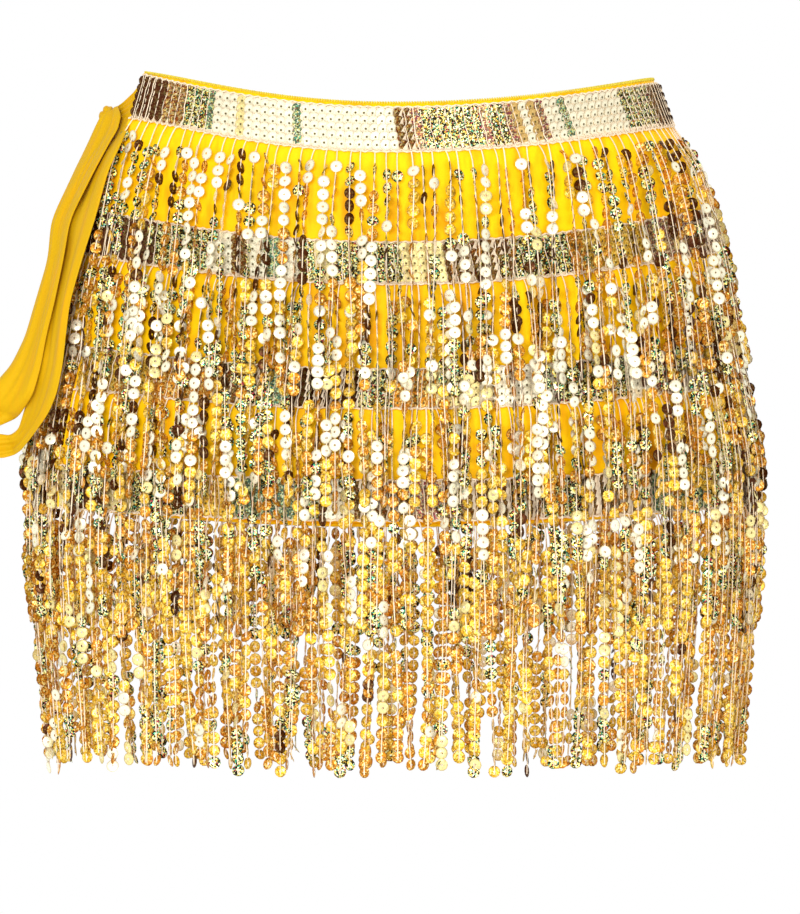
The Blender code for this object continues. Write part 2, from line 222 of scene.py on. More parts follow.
# The tie's two tails, as their left and right edges seen from the front, from the knot down.
StrapRow = namedtuple("StrapRow", "left_x left_z right_x right_z proud")
OUTER_TAIL = (
    StrapRow(-153.4, -18.8, -146.5, -15.2, 9.6),
    StrapRow(-156.2, -21.5, -144.5, -20.5, 10.2),
    StrapRow(-158.6, -26.5, -146.0, -28.0, 11.2),
    StrapRow(-161.8, -34.0, -150.0, -35.0, 12.8),
    StrapRow(-170.0, -51.3, -158.5, -51.3, 14.2),
    StrapRow(-181.6, -75.9, -171.0, -75.9, 14.6),
    StrapRow(-183.4, -97.0, -174.5, -97.0, 16.0),
    StrapRow(-190.5, -120.3, -179.5, -120.3, 17.0),
    StrapRow(-195.8, -138.0, -184.0, -138.0, 18.0),
    StrapRow(-203.2, -152.9, -187.0, -154.5, 18.6),
    StrapRow(-212.5, -163.5, -191.0, -169.0, 19.2),
    StrapRow(-221.5, -172.5, -199.0, -181.0, 19.3),
    StrapRow(-229.5, -178.5, -211.5, -186.5, 19.3),
)
INNER_TAIL = (
    StrapRow(-152.5, -21.0, -137.5, -19.5, 0.4),
    StrapRow(-154.8, -28.5, -140.4, -27.0, 3.6),
    StrapRow(-159.4, -38.5, -144.5, -37.5, 8.2),
    StrapRow(-168.5, -54.0, -151.0, -51.3, 9.2),
    StrapRow(-180.0, -76.0, -157.5, -75.9, 10.2),
    StrapRow(-182.0, -97.0, -164.5, -97.0, 11.0),
    StrapRow(-184.0, -120.3, -171.3, -120.3, 12.0),
    StrapRow(-187.0, -138.0, -173.5, -138.0, 12.5),
    StrapRow(-188.5, -153.0, -175.0, -152.9, 13.0),
    StrapRow(-193.0, -166.0, -178.0, -168.0, 13.0),
    StrapRow(-196.3, -177.5, -182.6, -179.0, 13.0),
    StrapRow(-199.0, -187.0, -190.5, -190.0, 13.0),
    StrapRow(-203.5, -190.5, -198.5, -200.0, 13.0),
    StrapRow(-210.0, -189.5, -208.0, -203.0, 13.0),
    StrapRow(-216.5, -191.0, -215.5, -201.0, 13.0),
)
# The two tails lie closer together than their solids, by this much each.
TAILS_CLOSER = 2.0
SIDE_ROUNDING = 0.05
# The gathered end of the tie, on the panel's own surface: degrees before its front end, and its edges' drops.
CornerRow = namedtuple("CornerRow", "along top bottom out")
CORNER = (
    CornerRow(-0.3, 1.0, 25.0, -0.6),
    CornerRow(-1.8, 7.0, 26.0, -0.5),
    CornerRow(-3.7, 12.0, 27.5, -0.4),
    CornerRow(-7.4, 17.5, 29.0, 0.2),
    CornerRow(-9.9, 20.0, 29.5, 0.9),
)
CORNER_GATHERS = 4.0
KNOT_CENTRE = (-151.9, -18.0, -21.5)
KNOT_RADII = (4.8, 7.0, 6.6)


class ScarfSizes(bpy.types.PropertyGroup):
    cloth_thickness: FloatProperty(
        name="Cloth", description="Thickness of the chiffon", default=0.0006, unit="LENGTH"
    )
    sequin_width: FloatProperty(
        name="Sequin", description="Width of a strand's sequin", default=0.0067, unit="LENGTH"
    )
    band_sequin_width: FloatProperty(
        name="Band sequin", description="Width of a band's sequin", default=0.0060, unit="LENGTH"
    )
    band_column_pitch: FloatProperty(
        name="Band column",
        description="Width of one column of a band's sequins",
        default=0.0045, unit="LENGTH",
    )
    band_rows: IntProperty(name="Band rows", description="Sequins in one column of a band", default=5, min=1)
    strand_pitch: FloatProperty(
        name="Strand spacing",
        description="Distance between the roots of two strands",
        default=0.0062, unit="LENGTH",
    )
    sequin_pitch: FloatProperty(
        name="Sequin spacing",
        description="Distance between two sequins on a strand",
        default=0.0071, unit="LENGTH",
    )
    thread_width: FloatProperty(
        name="Thread", description="Width of the sewing thread", default=0.0008, unit="LENGTH"
    )


class ScarfColours(bpy.types.PropertyGroup):
    cloth: FloatVectorProperty(
        name="Chiffon", description="Colour of the cloth", subtype="COLOR", default=(0.97, 0.585, 0.0)
    )
    # The chiffon's streaks are painted shade, for the shadows that the strands and ripples cast on the cloth.
    cloth_painted_shade: FloatVectorProperty(
        name="Chiffon painted shade",
        description="Colour of the streaks of painted shade",
        subtype="COLOR",
        default=(0.80, 0.30, 0.0),
    )
    # The tie's colour is the panel's chiffon darkened as painted shade.
    tie_cloth_painted_shade: FloatVectorProperty(
        name="Shaded tie chiffon", description="Colour of the tie", subtype="COLOR", default=(0.58, 0.345, 0.0)
    )
    edge_thread: FloatVectorProperty(
        name="Edge thread",
        description="Colour of the overcast edge",
        subtype="COLOR",
        default=(0.74, 0.60, 0.04),
    )
    thread: FloatVectorProperty(
        name="Thread", description="Colour of the sewing thread", subtype="COLOR", default=(0.92, 0.77, 0.55)
    )
    tape: FloatVectorProperty(
        name="Tape", description="Colour of the bands' backing", subtype="COLOR", default=(0.93, 0.79, 0.58)
    )


class ScarfStage(bpy.types.PropertyGroup):
    camera_distance: FloatProperty(
        name="Camera distance",
        description="From the camera to the scarf's middle",
        default=5.0, unit="LENGTH",
    )
    camera_x: FloatProperty(
        name="Camera x", description="How far right the camera stands", default=0.0037, unit="LENGTH"
    )
    camera_z: FloatProperty(
        name="Camera height", description="Height of the level camera", default=-0.202, unit="LENGTH"
    )
    view_width: FloatProperty(
        name="View width", description="Width seen at the scarf's middle", default=0.4278, unit="LENGTH"
    )
    floor_z: FloatProperty(
        name="Floor height", description="Height of the floor under the wearer", default=-0.95, unit="LENGTH"
    )


def fine_column(name):
    """One column of the ring table at every millimetre of drop, with the corners at the rings rounded off."""
    drops = [ring.drop for ring in RINGS]
    reach = SMOOTHING // 2
    fine = np.arange(-reach, LONGEST_DROP + reach + 1)
    values = np.interp(fine, drops, [getattr(ring, name) for ring in RINGS])
    weights = np.hanning(SMOOTHING + 2)[1:-1]
    return np.convolve(values, weights / weights.sum(), mode="valid")


FINE = {name: fine_column(name) for name in Ring._fields[1:]}


def form_value(name, drop):
    return np.interp(drop, np.arange(LONGEST_DROP + 1), FINE[name])


def front_or_back(what, turn, drop):
    """The form's depth or dip, from its front column or its back one."""
    return np.where(np.cos(turn) > 0.0, form_value(f"front_{what}", drop), form_value(f"back_{what}", drop))


def away_from(angle, other):
    """The smaller angle between two directions, in degrees."""
    return np.abs((angle - other + 180.0) % 360.0 - 180.0)


def hollow(angle, drop):
    """How far the cloth lies inside its plain ring, from its troughs and ripples."""
    share = np.minimum(1.0, np.maximum(0.0, drop / HEM_DROP)) ** FOLDS_DEEPEN
    depth = np.zeros_like(angle)
    for fold in FOLDS:
        away = np.minimum(1.0, away_from(angle, fold.angle) / fold.half_angle)
        depth += fold.depth * share * np.cos(0.5 * np.pi * away) ** 2
    for ripple in RIPPLES:
        depth += ripple.depth * share * (1.0 - np.cos(np.radians(ripple.waves * angle) + ripple.phase))
    return depth


def tuck(along, drop):
    """The share of the tuck that a point takes, on the stretch that leads to the panel's back end."""
    near = np.maximum(0.0, 1.0 - np.abs(along - TUCK_ANGLE) / TUCK_REACH)
    down = np.clip((drop - TUCK_FULL_TO) / (TUCK_FADES_BY - TUCK_FULL_TO), 0.0, 1.0)
    return np.sin(0.5 * np.pi * near) ** 2 * (1.0 - down**2 * (3.0 - 2.0 * down))


def unit(vectors):
    return vectors / np.linalg.norm(vectors, axis=-1, keepdims=True)


def level_axes(angle, drop):
    """The level directions out of the form and round it, as two arrays of vectors."""
    turn = np.radians(angle)
    wide = form_value("half_width", drop)
    deep = front_or_back("depth", turn, drop)
    outward = unit(np.stack([deep * np.sin(turn), -wide * np.cos(turn), np.zeros_like(turn)], axis=-1))
    around = np.stack([-outward[..., 1], outward[..., 0], np.zeros_like(turn)], axis=-1)
    return outward, around


def on_form(along, drop, out):
    """Points on the cloth's outer face, moved out from it. along is in degrees from the panel's front end."""
    along, drop, out = np.broadcast_arrays(*(np.asarray(v, dtype=float) for v in (along, drop, out)))
    angle = form_value("front_end", drop) + along
    turn = np.radians(angle)
    wide = form_value("half_width", drop)
    deep = front_or_back("depth", turn, drop)
    dip = front_or_back("dip", turn, drop) * np.cos(turn) ** 2
    lap = LAP_LIFT * np.clip(1.0 - along / LIFTED_ANGLE, 0.0, 1.0) ** 2
    from_lift = np.minimum(1.0, away_from(angle, LIFT_ANGLE) / LIFT_REACH)
    lift = LIFT * form_value("pull", drop) * np.cos(0.5 * np.pi * from_lift) ** 2
    tucked = tuck(along, drop)
    height = lift - dip - drop - TUCK_SINK * tucked
    ring = np.stack([wide * np.sin(turn), -deep * np.cos(turn), height], axis=-1)
    outward, _ = level_axes(angle, drop)
    return ring + outward * (out + lap - hollow(angle, drop) - TUCK_DEPTH * tucked)[..., None]


def steps_between(points):
    return np.linalg.norm(np.diff(points, axis=0), axis=1)


def lengths_along(points):
    """How far along a line each of its points is."""
    return np.concatenate([[0.0], np.cumsum(steps_between(points))])


def line_length(points):
    """The length in metres of a line whose points are in millimetres."""
    return float(steps_between(points).sum()) * MM


def on_line(places, marks, line):
    """Points on a line. Its own points are at the marks."""
    return np.stack([np.interp(places, marks, line[:, k]) for k in range(3)], axis=-1)


def evenly_along(drop, pitch):
    """Places along a band, in degrees from the panel's front end, about this pitch apart."""
    fine = np.linspace(BAND_STARTS, BAND_ENDS, LINE_STEPS)
    lengths = lengths_along(on_form(fine, drop, 0.0))
    count = int(lengths[-1] / pitch)
    places = (np.arange(count) + 0.5) / count * lengths[-1]
    return np.interp(places, lengths, fine)


def fall_over(along, drops):
    """Where strands that start at these places reach each lower drop, in degrees from the front end.

    A ring that is wider than the one above pushes a strand straight out from it, and never sideways.
    """
    angle = form_value("front_end", drops[0]) + along
    rows = [along]
    for here, there in zip(drops, drops[1:]):
        turn = np.radians(angle)
        wide = form_value("half_width", here)
        wider = form_value("half_width", there) - wide
        deep = front_or_back("depth", turn, here)
        deeper = front_or_back("depth", turn, there) - deep
        push = np.sin(turn) * np.cos(turn) * (deep * deeper - wide * wider)
        angle = angle + np.degrees(push / ((wide * np.cos(turn)) ** 2 + (deep * np.sin(turn)) ** 2))
        rows.append(angle - form_value("front_end", there))
    return np.array(rows)


def deselect_all():
    if bpy.context.mode != "OBJECT":
        bpy.ops.object.mode_set(mode="OBJECT")
    bpy.ops.object.select_all(action="DESELECT")


def make_active(piece):
    deselect_all()
    piece.select_set(True)
    bpy.context.view_layer.objects.active = piece


def apply_modifiers(piece):
    make_active(piece)
    for modifier in list(piece.modifiers):
        bpy.ops.object.modifier_apply(modifier=modifier.name)


def finish_piece(piece, material, slot, *nodes):
    """Smooths a piece and gives it its finish, what it rides on and the solids it stands for. The slot is not
    used.
    """
    make_active(piece)
    bpy.ops.object.shade_smooth()
    piece.data.materials.clear()
    piece.data.materials.append(material)
    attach(piece, "root")
    if nodes:
        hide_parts(*nodes)


def read_points(piece):
    """The places of a mesh's points, as rows."""
    flat = np.empty(3 * len(piece.data.vertices))
    piece.data.vertices.foreach_get("co", flat)
    return flat.reshape(-1, 3)


def write_points(piece, points):
    """Moves a mesh's points to these places, given in millimetres."""
    piece.data.vertices.foreach_set("co", (points * MM).ravel())
    piece.data.update()


def add_shell(name, faces_along, faces_down, place, thickness):
    """A thin sheet: a grid whose points are placed by a function of their shares along and down."""
    deselect_all()
    bpy.ops.mesh.primitive_grid_add(x_subdivisions=faces_along, y_subdivisions=faces_down, size=1.0)
    piece = bpy.context.active_object
    piece.name = name
    piece.data.name = name
    shares = read_points(piece) + 0.5
    write_points(piece, place(np.clip(shares[:, 0], 0.0, 1.0), np.clip(1.0 - shares[:, 1], 0.0, 1.0)))
    solidify = piece.modifiers.new("Thickness", "SOLIDIFY")
    solidify.thickness = thickness
    solidify.offset = -1.0
    solidify.use_even_offset = False
    apply_modifiers(piece)
    return piece


def add_node(tree, kind, inputs=(), **settings):
    """Adds a node with these settings. Each input takes a plain value or another node's output."""
    node = tree.nodes.new(kind)
    for name, value in settings.items():
        setattr(node, name, value)
    for name, value in dict(inputs).items():
        if isinstance(value, bpy.types.NodeSocket):
            tree.links.new(value, node.inputs[name])
        else:
            node.inputs[name].default_value = value
    return node


def new_geometry_tree(name):
    tree = bpy.data.node_groups.new(name, "GeometryNodeTree")
    tree.interface.new_socket("Geometry", in_out="INPUT", socket_type="NodeSocketGeometry")
    tree.interface.new_socket("Geometry", in_out="OUTPUT", socket_type="NodeSocketGeometry")
    return tree, tree.nodes.new("NodeGroupInput").outputs[0]


def copies_tree(name, copied):
    """Geometry nodes that put a copy of an object on every point, turned and sized by its attributes."""
    tree, points = new_geometry_tree(name)
    shape = add_node(tree, "GeometryNodeObjectInfo", {"Object": copied})
    turn = add_node(tree, "GeometryNodeInputNamedAttribute", {"Name": "turn"}, data_type="FLOAT_VECTOR")
    size = add_node(tree, "GeometryNodeInputNamedAttribute", {"Name": "size"}, data_type="FLOAT")
    rotation = add_node(tree, "FunctionNodeEulerToRotation", {"Euler": turn.outputs["Attribute"]})
    laid = {
        "Points": points,
        "Instance": shape.outputs["Geometry"],
        "Rotation": rotation.outputs["Rotation"],
        "Scale": size.outputs["Attribute"],
    }
    copies = add_node(tree, "GeometryNodeInstanceOnPoints", laid)
    realised = add_node(tree, "GeometryNodeRealizeInstances", {"Geometry": copies.outputs["Instances"]})
    add_node(tree, "NodeGroupOutput", {"Geometry": realised.outputs["Geometry"]})
    return tree


def thread_tree(name, width, sides):
    """Geometry nodes that turn every chain of edges into a thread of this width."""
    tree, chains = new_geometry_tree(name)
    lines = add_node(tree, "GeometryNodeMeshToCurve", {"Mesh": chains})
    section = add_node(tree, "GeometryNodeCurvePrimitiveCircle", {"Resolution": sides, "Radius": 0.5 * width})
    swept = {"Curve": lines.outputs["Curve"], "Profile Curve": section.outputs["Curve"], "Fill Caps": True}
    sweep = add_node(tree, "GeometryNodeCurveToMesh", swept)
    add_node(tree, "NodeGroupOutput", {"Geometry": sweep.outputs["Mesh"]})
    return tree


def new_mesh_object(name, points, edges=()):
    """A mesh of bare points, given in millimetres, and of edges between them."""
    data = bpy.data.meshes.new(name)
    data.from_pydata([tuple(point) for point in points * MM], [tuple(edge) for edge in edges], [])
    piece = bpy.data.objects.new(name, data)
    bpy.context.scene.collection.objects.link(piece)
    return piece


def run_nodes(piece, tree):
    """Turns a mesh of points into its piece, by geometry nodes."""
    modifier = piece.modifiers.new("Nodes", "NODES")
    modifier.node_group = tree
    apply_modifiers(piece)


def add_copies(name, tree, places, turns, sizes, finish):
    """One piece of many copies, with each copy's finish kept as attributes for the material."""
    tints, flakes, glitter = finish
    piece = new_mesh_object(name, places)
    columns = (
        ("turn", "FLOAT_VECTOR", "vector", turns),
        ("size", "FLOAT", "value", sizes),
        ("tint", "FLOAT_COLOR", "color", np.hstack([tints, np.ones((len(tints), 1))])),
        ("flakes", "FLOAT", "value", flakes),
        ("glitter", "FLOAT", "value", glitter),
    )
    for column, kind, field, values in columns:
        attribute = piece.data.attributes.new(column, kind, "POINT")
        attribute.data.foreach_set(field, np.ascontiguousarray(values, dtype=np.float32).ravel())
    run_nodes(piece, tree)
    for column in ("turn", "size"):
        piece.data.attributes.remove(piece.data.attributes[column])
    return piece


def add_threads(name, tree, chains):
    """One piece of many threads, each a chain of points."""
    edges = []
    first = 0
    for chain in chains:
        edges += [(first + i, first + i + 1) for i in range(len(chain) - 1)]
        first += len(chain)
    piece = new_mesh_object(name, np.concatenate(chains), edges)
    run_nodes(piece, tree)
    return piece


# A sequin's inner rings, as shares of its radius: its sewn eye, or its bend and its open hole.
EYE_SHARE = 0.15
BEND_SHARE = 0.74
HOLE_SHARE = 0.20
# The parts that are marked for the material, as shares of the sequin's width from its middle.
RIM_FROM = 0.48
EYE_TO = 0.2


def model_sequin(name, width, corners, dish, eye):
    """A flat sequin, its rim bent back, with an open hole or with an eye that a face fills, dark for a knot
    of thread and the painted shadow in the hole.

    Attributes mark the rim, for its painted shade, and the eye, for the material.
    """
    deselect_all()
    bpy.ops.mesh.primitive_circle_add(vertices=corners, radius=0.5 * width, fill_type="NOTHING")
    sequin = bpy.context.active_object
    sequin.name = name
    rings = ((EYE_SHARE, 0.0),) if eye else ((BEND_SHARE, dish), (HOLE_SHARE, 0.0))
    bpy.ops.object.mode_set(mode="EDIT")
    bpy.ops.mesh.select_all(action="SELECT")
    reach = 1.0
    for share, rise in rings:
        bpy.ops.mesh.extrude_region_move(TRANSFORM_OT_translate={"value": (0.0, 0.0, rise)})
        bpy.ops.transform.resize(value=(share / reach, share / reach, 1.0), center_override=(0.0, 0.0, 0.0))
        reach = share
    if eye:
        bpy.ops.mesh.edge_face_add()
    bpy.ops.object.mode_set(mode="OBJECT")
    from_middle = [vert.co.xy.length / width for vert in sequin.data.vertices]
    marks = {
        "rim": [float(share > RIM_FROM) for share in from_middle],
        "eye": [float(eye and share < EYE_TO) for share in from_middle],
    }
    for mark, values in marks.items():
        attribute = sequin.data.attributes.new(mark, "FLOAT", "POINT")
        attribute.data.foreach_set("value", values)
    if sequin.data.polygons[0].normal.z < 0.0:
        sequin.data.flip_normals()
    bpy.ops.object.shade_smooth()
    return sequin


def drop_helper(helper):
    bpy.data.objects.remove(helper, do_unlink=True)


def new_group(name, inputs, outputs):
    """A shader node group with these named sockets, and what its inputs put out."""
    group = bpy.data.node_groups.new(name, "ShaderNodeTree")
    for label, kind, value in inputs:
        socket = group.interface.new_socket(label, in_out="INPUT", socket_type=kind)
        socket.default_value = value
    for label, kind in outputs:
        group.interface.new_socket(label, in_out="OUTPUT", socket_type=kind)
    return group, group.nodes.new("NodeGroupInput").outputs


def object_place(tree):
    return tree.nodes.new("ShaderNodeTexCoord").outputs["Object"]


def worked_out(tree, operation, first, second):
    return add_node(tree, "ShaderNodeMath", {0: first, 1: second}, operation=operation).outputs[0]


def rescaled(tree, value, **limits):
    """A value brought from one range to another. The limits are from_min, from_max, to_min and to_max."""
    inputs = {"Value": value}
    inputs |= {name.replace("_", " ").title(): limit for name, limit in limits.items()}
    return add_node(tree, "ShaderNodeMapRange", inputs).outputs["Result"]


def mixed(tree, share, first, second, blend="MIX"):
    inputs = {"Factor": share, "A": first, "B": second}
    return add_node(tree, "ShaderNodeMix", inputs, data_type="RGBA", blend_type=blend).outputs["Result"]


# The colours of the flakes in mixed foil, each from this share of the flakes on.
FLAKE_COLOURS = (
    (0.0, (0.008, 0.009, 0.003)),
    (0.36, (0.07, 0.03, 0.004)),
    (0.45, (0.55, 0.33, 0.03)),
    (0.55, (0.93, 0.74, 0.18)),
    (0.66, (0.88, 0.94, 0.45)),
    (0.83, (1.0, 1.0, 0.78)),
    (0.89, (0.08, 0.40, 0.24)),
    (0.96, (0.50, 0.07, 0.09)),
)
# The colour of the painted glints on the foil.
PAINTED_GLINT_COLOUR = (1.0, 0.86, 0.30, 1.0)
# The colour of the painted shade on a sequin's bent rim.
RIM_PAINTED_SHADE_COLOUR = (0.32, 0.2, 0.1, 1.0)
# The colour of the eye: a dark knot of thread and the painted shadow in the hole.
EYE_KNOT_AND_SHADOW_COLOUR = (0.10, 0.07, 0.02, 1.0)
EYE_SHARPNESS = 9.0


def foil_group():
    """The colour of sequin foil: a tint broken into flakes, with painted sparkle, and darker towards the
    sequin's rim as painted shade.
    """
    inputs = (
        ("Tint", "NodeSocketColor", (0.9, 0.7, 0.3, 1.0)),
        ("Flakes", "NodeSocketFloat", 0.5),
        ("Glitter", "NodeSocketFloat", 0.5),
        ("Rim", "NodeSocketFloat", 0.0),
        ("Rim Painted Shade", "NodeSocketFloat", 0.35),
        ("Eye", "NodeSocketFloat", 0.0),
        ("Flake Scale", "NodeSocketFloat", 1100.0),
    )
    outputs = (("Color", "NodeSocketColor"), ("Roughness", "NodeSocketFloat"))
    group, given = new_group("sequin foil", inputs, outputs)
    cell_inputs = {"Vector": object_place(group), "Scale": given["Flake Scale"]}
    cells = add_node(group, "ShaderNodeTexVoronoi", cell_inputs, feature="F1")
    chance = add_node(group, "ShaderNodeSeparateColor", {"Color": cells.outputs["Color"]}).outputs
    ramp = add_node(group, "ShaderNodeValToRGB", {"Fac": chance["Red"]})
    ramp.color_ramp.interpolation = "CONSTANT"
    while len(ramp.color_ramp.elements) < len(FLAKE_COLOURS):
        ramp.color_ramp.elements.new(1.0)
    for element, (position, colour) in zip(ramp.color_ramp.elements, FLAKE_COLOURS):
        element.position = position
        element.color = (*colour, 1.0)
    # Painted sparkle: some flakes are dimmed as painted shade and others lit as painted glints, by the
    # sparkle share.
    dim_facet_shade = rescaled(group, chance["Blue"], from_max=0.5, to_min=0.16)
    with_dim_facets = mixed(group, given["Glitter"], given["Tint"], dim_facet_shade, "MULTIPLY")
    painted_glint = rescaled(group, chance["Blue"], from_min=0.68, from_max=0.9)
    painted_glint = worked_out(group, "MULTIPLY", painted_glint, given["Glitter"])
    with_painted_sparkle = mixed(group, painted_glint, with_dim_facets, PAINTED_GLINT_COLOUR)
    flaked = mixed(group, given["Flakes"], with_painted_sparkle, ramp.outputs["Color"])
    # Painted shade: the rim, bent back and lying under its neighbours, is darkened towards the rim colour.
    shade = worked_out(group, "MULTIPLY", given["Rim"], given["Rim Painted Shade"])
    darker = mixed(group, shade, flaked, RIM_PAINTED_SHADE_COLOUR, "MULTIPLY")
    # The eye is painted dark, for the knot of thread and the shadow in the hole.
    knot_and_shadow_share = worked_out(group, "POWER", given["Eye"], EYE_SHARPNESS)
    with_knot_and_shadow = mixed(group, knot_and_shadow_share, darker, EYE_KNOT_AND_SHADOW_COLOUR)
    gloss = rescaled(group, chance["Green"], to_min=0.16, to_max=0.42)
    add_node(group, "NodeGroupOutput", {"Color": with_knot_and_shadow, "Roughness": gloss})
    return group


def yarn_group():
    """The uneven colour and relief of spun thread or fine cloth."""
    inputs = (
        ("Color", "NodeSocketColor", (0.8, 0.65, 0.45, 1.0)),
        ("Shade", "NodeSocketColor", (0.5, 0.35, 0.2, 1.0)),
        ("Scale", "NodeSocketFloat", 900.0),
        ("Shade Share", "NodeSocketFloat", 0.5),
    )
    outputs = (("Color", "NodeSocketColor"), ("Height", "NodeSocketFloat"))
    group, given = new_group("spun yarn", inputs, outputs)
    noise_inputs = {"Vector": object_place(group), "Scale": given["Scale"], "Detail": 3.0}
    noise = add_node(group, "ShaderNodeTexNoise", noise_inputs).outputs["Fac"]
    contrast = rescaled(group, noise, from_min=0.35, from_max=0.65)
    share = worked_out(group, "MULTIPLY", contrast, given["Shade Share"])
    colour = mixed(group, share, given["Color"], given["Shade"])
    add_node(group, "NodeGroupOutput", {"Color": colour, "Height": noise})
    return group


SEQUIN_FINISH = {"Metallic": 0.4, "Specular IOR Level": 0.1}
THREAD_FINISH = {"Roughness": 0.7}
CHIFFON_FINISH = {"Roughness": 0.62, "Specular IOR Level": 0.12, "Sheen Weight": 0.04, "Sheen Roughness": 0.4}
FLOOR_FINISH = {"Roughness": 0.9}


def new_material(name, finish):
    """A material whose shader has these plain values."""
    material = bpy.data.materials.new(name)
    material.use_nodes = True
    shader = material.node_tree.nodes["Principled BSDF"]
    for label, value in finish.items():
        shader.inputs[label].default_value = value
    return material, material.node_tree, shader


def bump_from(tree, shader, height, distance, strength):
    bump = add_node(tree, "ShaderNodeBump", {"Height": height, "Distance": distance, "Strength": strength})
    tree.links.new(bump.outputs["Normal"], shader.inputs["Normal"])


def sequin_material(name, group, rim_painted_shade, flake_scale):
    """Foil sequins, tinted by their own attributes."""
    material, tree, shader = new_material(name, SEQUIN_FINISH)
    foil_inputs = {"Rim Painted Shade": rim_painted_shade, "Flake Scale": flake_scale}
    for label in ("Tint", "Flakes", "Glitter", "Rim", "Eye"):
        node = add_node(tree, "ShaderNodeAttribute", attribute_name=label.lower())
        foil_inputs[label] = node.outputs["Color" if label == "Tint" else "Fac"]
    foil = add_node(tree, "ShaderNodeGroup", foil_inputs, node_tree=group)
    tree.links.new(foil.outputs["Color"], shader.inputs["Base Color"])
    tree.links.new(foil.outputs["Roughness"], shader.inputs["Roughness"])
    return material


def add_yarn(tree, group, colour, shade, scale, share):
    inputs = {"Color": (*colour, 1.0), "Shade": (*shade, 1.0), "Scale": scale, "Shade Share": share}
    return add_node(tree, "ShaderNodeGroup", inputs, node_tree=group)


def thread_material(name, group, colour, shade, scale):
    material, tree, shader = new_material(name, THREAD_FINISH)
    yarn = add_yarn(tree, group, colour, shade, scale, 0.5)
    tree.links.new(yarn.outputs["Color"], shader.inputs["Base Color"])
    bump_from(tree, shader, yarn.outputs["Height"], 0.0003, 0.6)
    return material


def chiffon_material(name, group, colour, shade, painted_shade_streak):
    """Yellow chiffon, with soft lengthwise streaks of painted shade for the shadows of the strands and
    ripples, and a fine crepe surface.
    """
    material, tree, shader = new_material(name, CHIFFON_FINISH)
    stretch = add_node(tree, "ShaderNodeMapping", {"Vector": object_place(tree), "Scale": (1.0, 1.0, 0.14)})
    streak_inputs = {"Vector": stretch.outputs["Vector"], "Scale": 150.0, "Detail": 2.0}
    streaks = add_node(tree, "ShaderNodeTexNoise", streak_inputs).outputs["Fac"]
    # Painted shade: stretched noise darkens the cloth in lengthwise streaks towards the shade colour.
    share = rescaled(tree, streaks, from_min=0.48, from_max=0.72, to_max=painted_shade_streak)
    yarn = add_yarn(tree, group, colour, (colour[0], 0.86 * colour[1], 0.0), 1600.0, 0.35)
    with_painted_shade = mixed(tree, share, yarn.outputs["Color"], (*shade, 1.0))
    tree.links.new(with_painted_shade, shader.inputs["Base Color"])
    bump_from(tree, shader, yarn.outputs["Height"], 0.00015, 0.5)
    return material


def make_materials():
    """Every finish of the scarf, built once and found again by name."""
    if "yellow chiffon" in bpy.data.materials:
        return {material.name: material for material in bpy.data.materials}
    colours = bpy.context.scene.scarf_colours
    # shade is the colour of the chiffon's streaks of painted shade.
    cloth, shade, tie_shaded_cloth = (tuple(c) for c in (colours.cloth, colours.cloth_painted_shade, colours.tie_cloth_painted_shade))
    thread, tape, edge = (tuple(c) for c in (colours.thread, colours.tape, colours.edge_thread))
    foil = foil_group()
    yarn = yarn_group()
    made = (
        chiffon_material("yellow chiffon", yarn, cloth, shade, 0.7),
        # The tie's chiffon is the cloth's colour darkened as painted shade.
        chiffon_material("folded chiffon", yarn, tie_shaded_cloth, shade, 0.22),
        thread_material("overcast thread", yarn, edge, (0.50, 0.36, 0.01), 700.0),
        # The third value of each is the share of painted shade at the rim.
        sequin_material("strand sequins", foil, 0.6, 1350.0),
        sequin_material("band sequins", foil, 0.38, 1400.0),
        thread_material("pale thread", yarn, thread, (0.80, 0.60, 0.44), 700.0),
        thread_material("woven tape", yarn, tape, (0.66, 0.47, 0.28), 500.0),
    )
    return {material.name: material for material in made}


def coil_round(line, outward, radius, loops, points_per_loop):
    """A helix round a level line of points, as the loops of an overcast edge."""
    count = loops * points_per_loop
    places = np.linspace(0.0, len(line) - 1.0, count)
    marks = np.arange(len(line))
    turn = 2.0 * np.pi * np.arange(count)[:, None] / points_per_loop
    upward = np.array([[0.0, 0.0, 1.0]])
    return on_line(places, marks, line) + radius * (
        on_line(places, marks, outward) * np.cos(turn) + upward * np.sin(turn)
    )


def facing(outward, around, up, yaw, pitch):
    """Euler angles of sequins that look outward, turned about their strand and nodding, in degrees."""
    yaw = np.radians(yaw)[:, None]
    pitch = np.radians(pitch)[:, None]
    level = outward * np.cos(yaw) + around * np.sin(yaw)
    side = unit(around * np.cos(yaw) - outward * np.sin(yaw))
    face = level * np.cos(pitch) + up * np.sin(pitch)
    face = unit(face - side * np.sum(side * face, axis=1, keepdims=True))
    top = np.cross(face, side)
    turns = np.empty((len(side), 3))
    for i in range(len(side)):
        turns[i] = Matrix((side[i], top[i], face[i])).transposed().to_euler()
    return turns


PANEL_FACES = (300, 60)
EDGE_DROP = 0.2
EDGE_LOOPS = 640
EDGE_LOOP_POINTS = 6
EDGE_LOOP_RADIUS = 0.6
EDGE_THREAD = 0.0009
HEM_ROLL = 0.0016
# The roll of the lower hem lies this far above the cloth's edge.
LOWER_HEM_RISE = 1.3


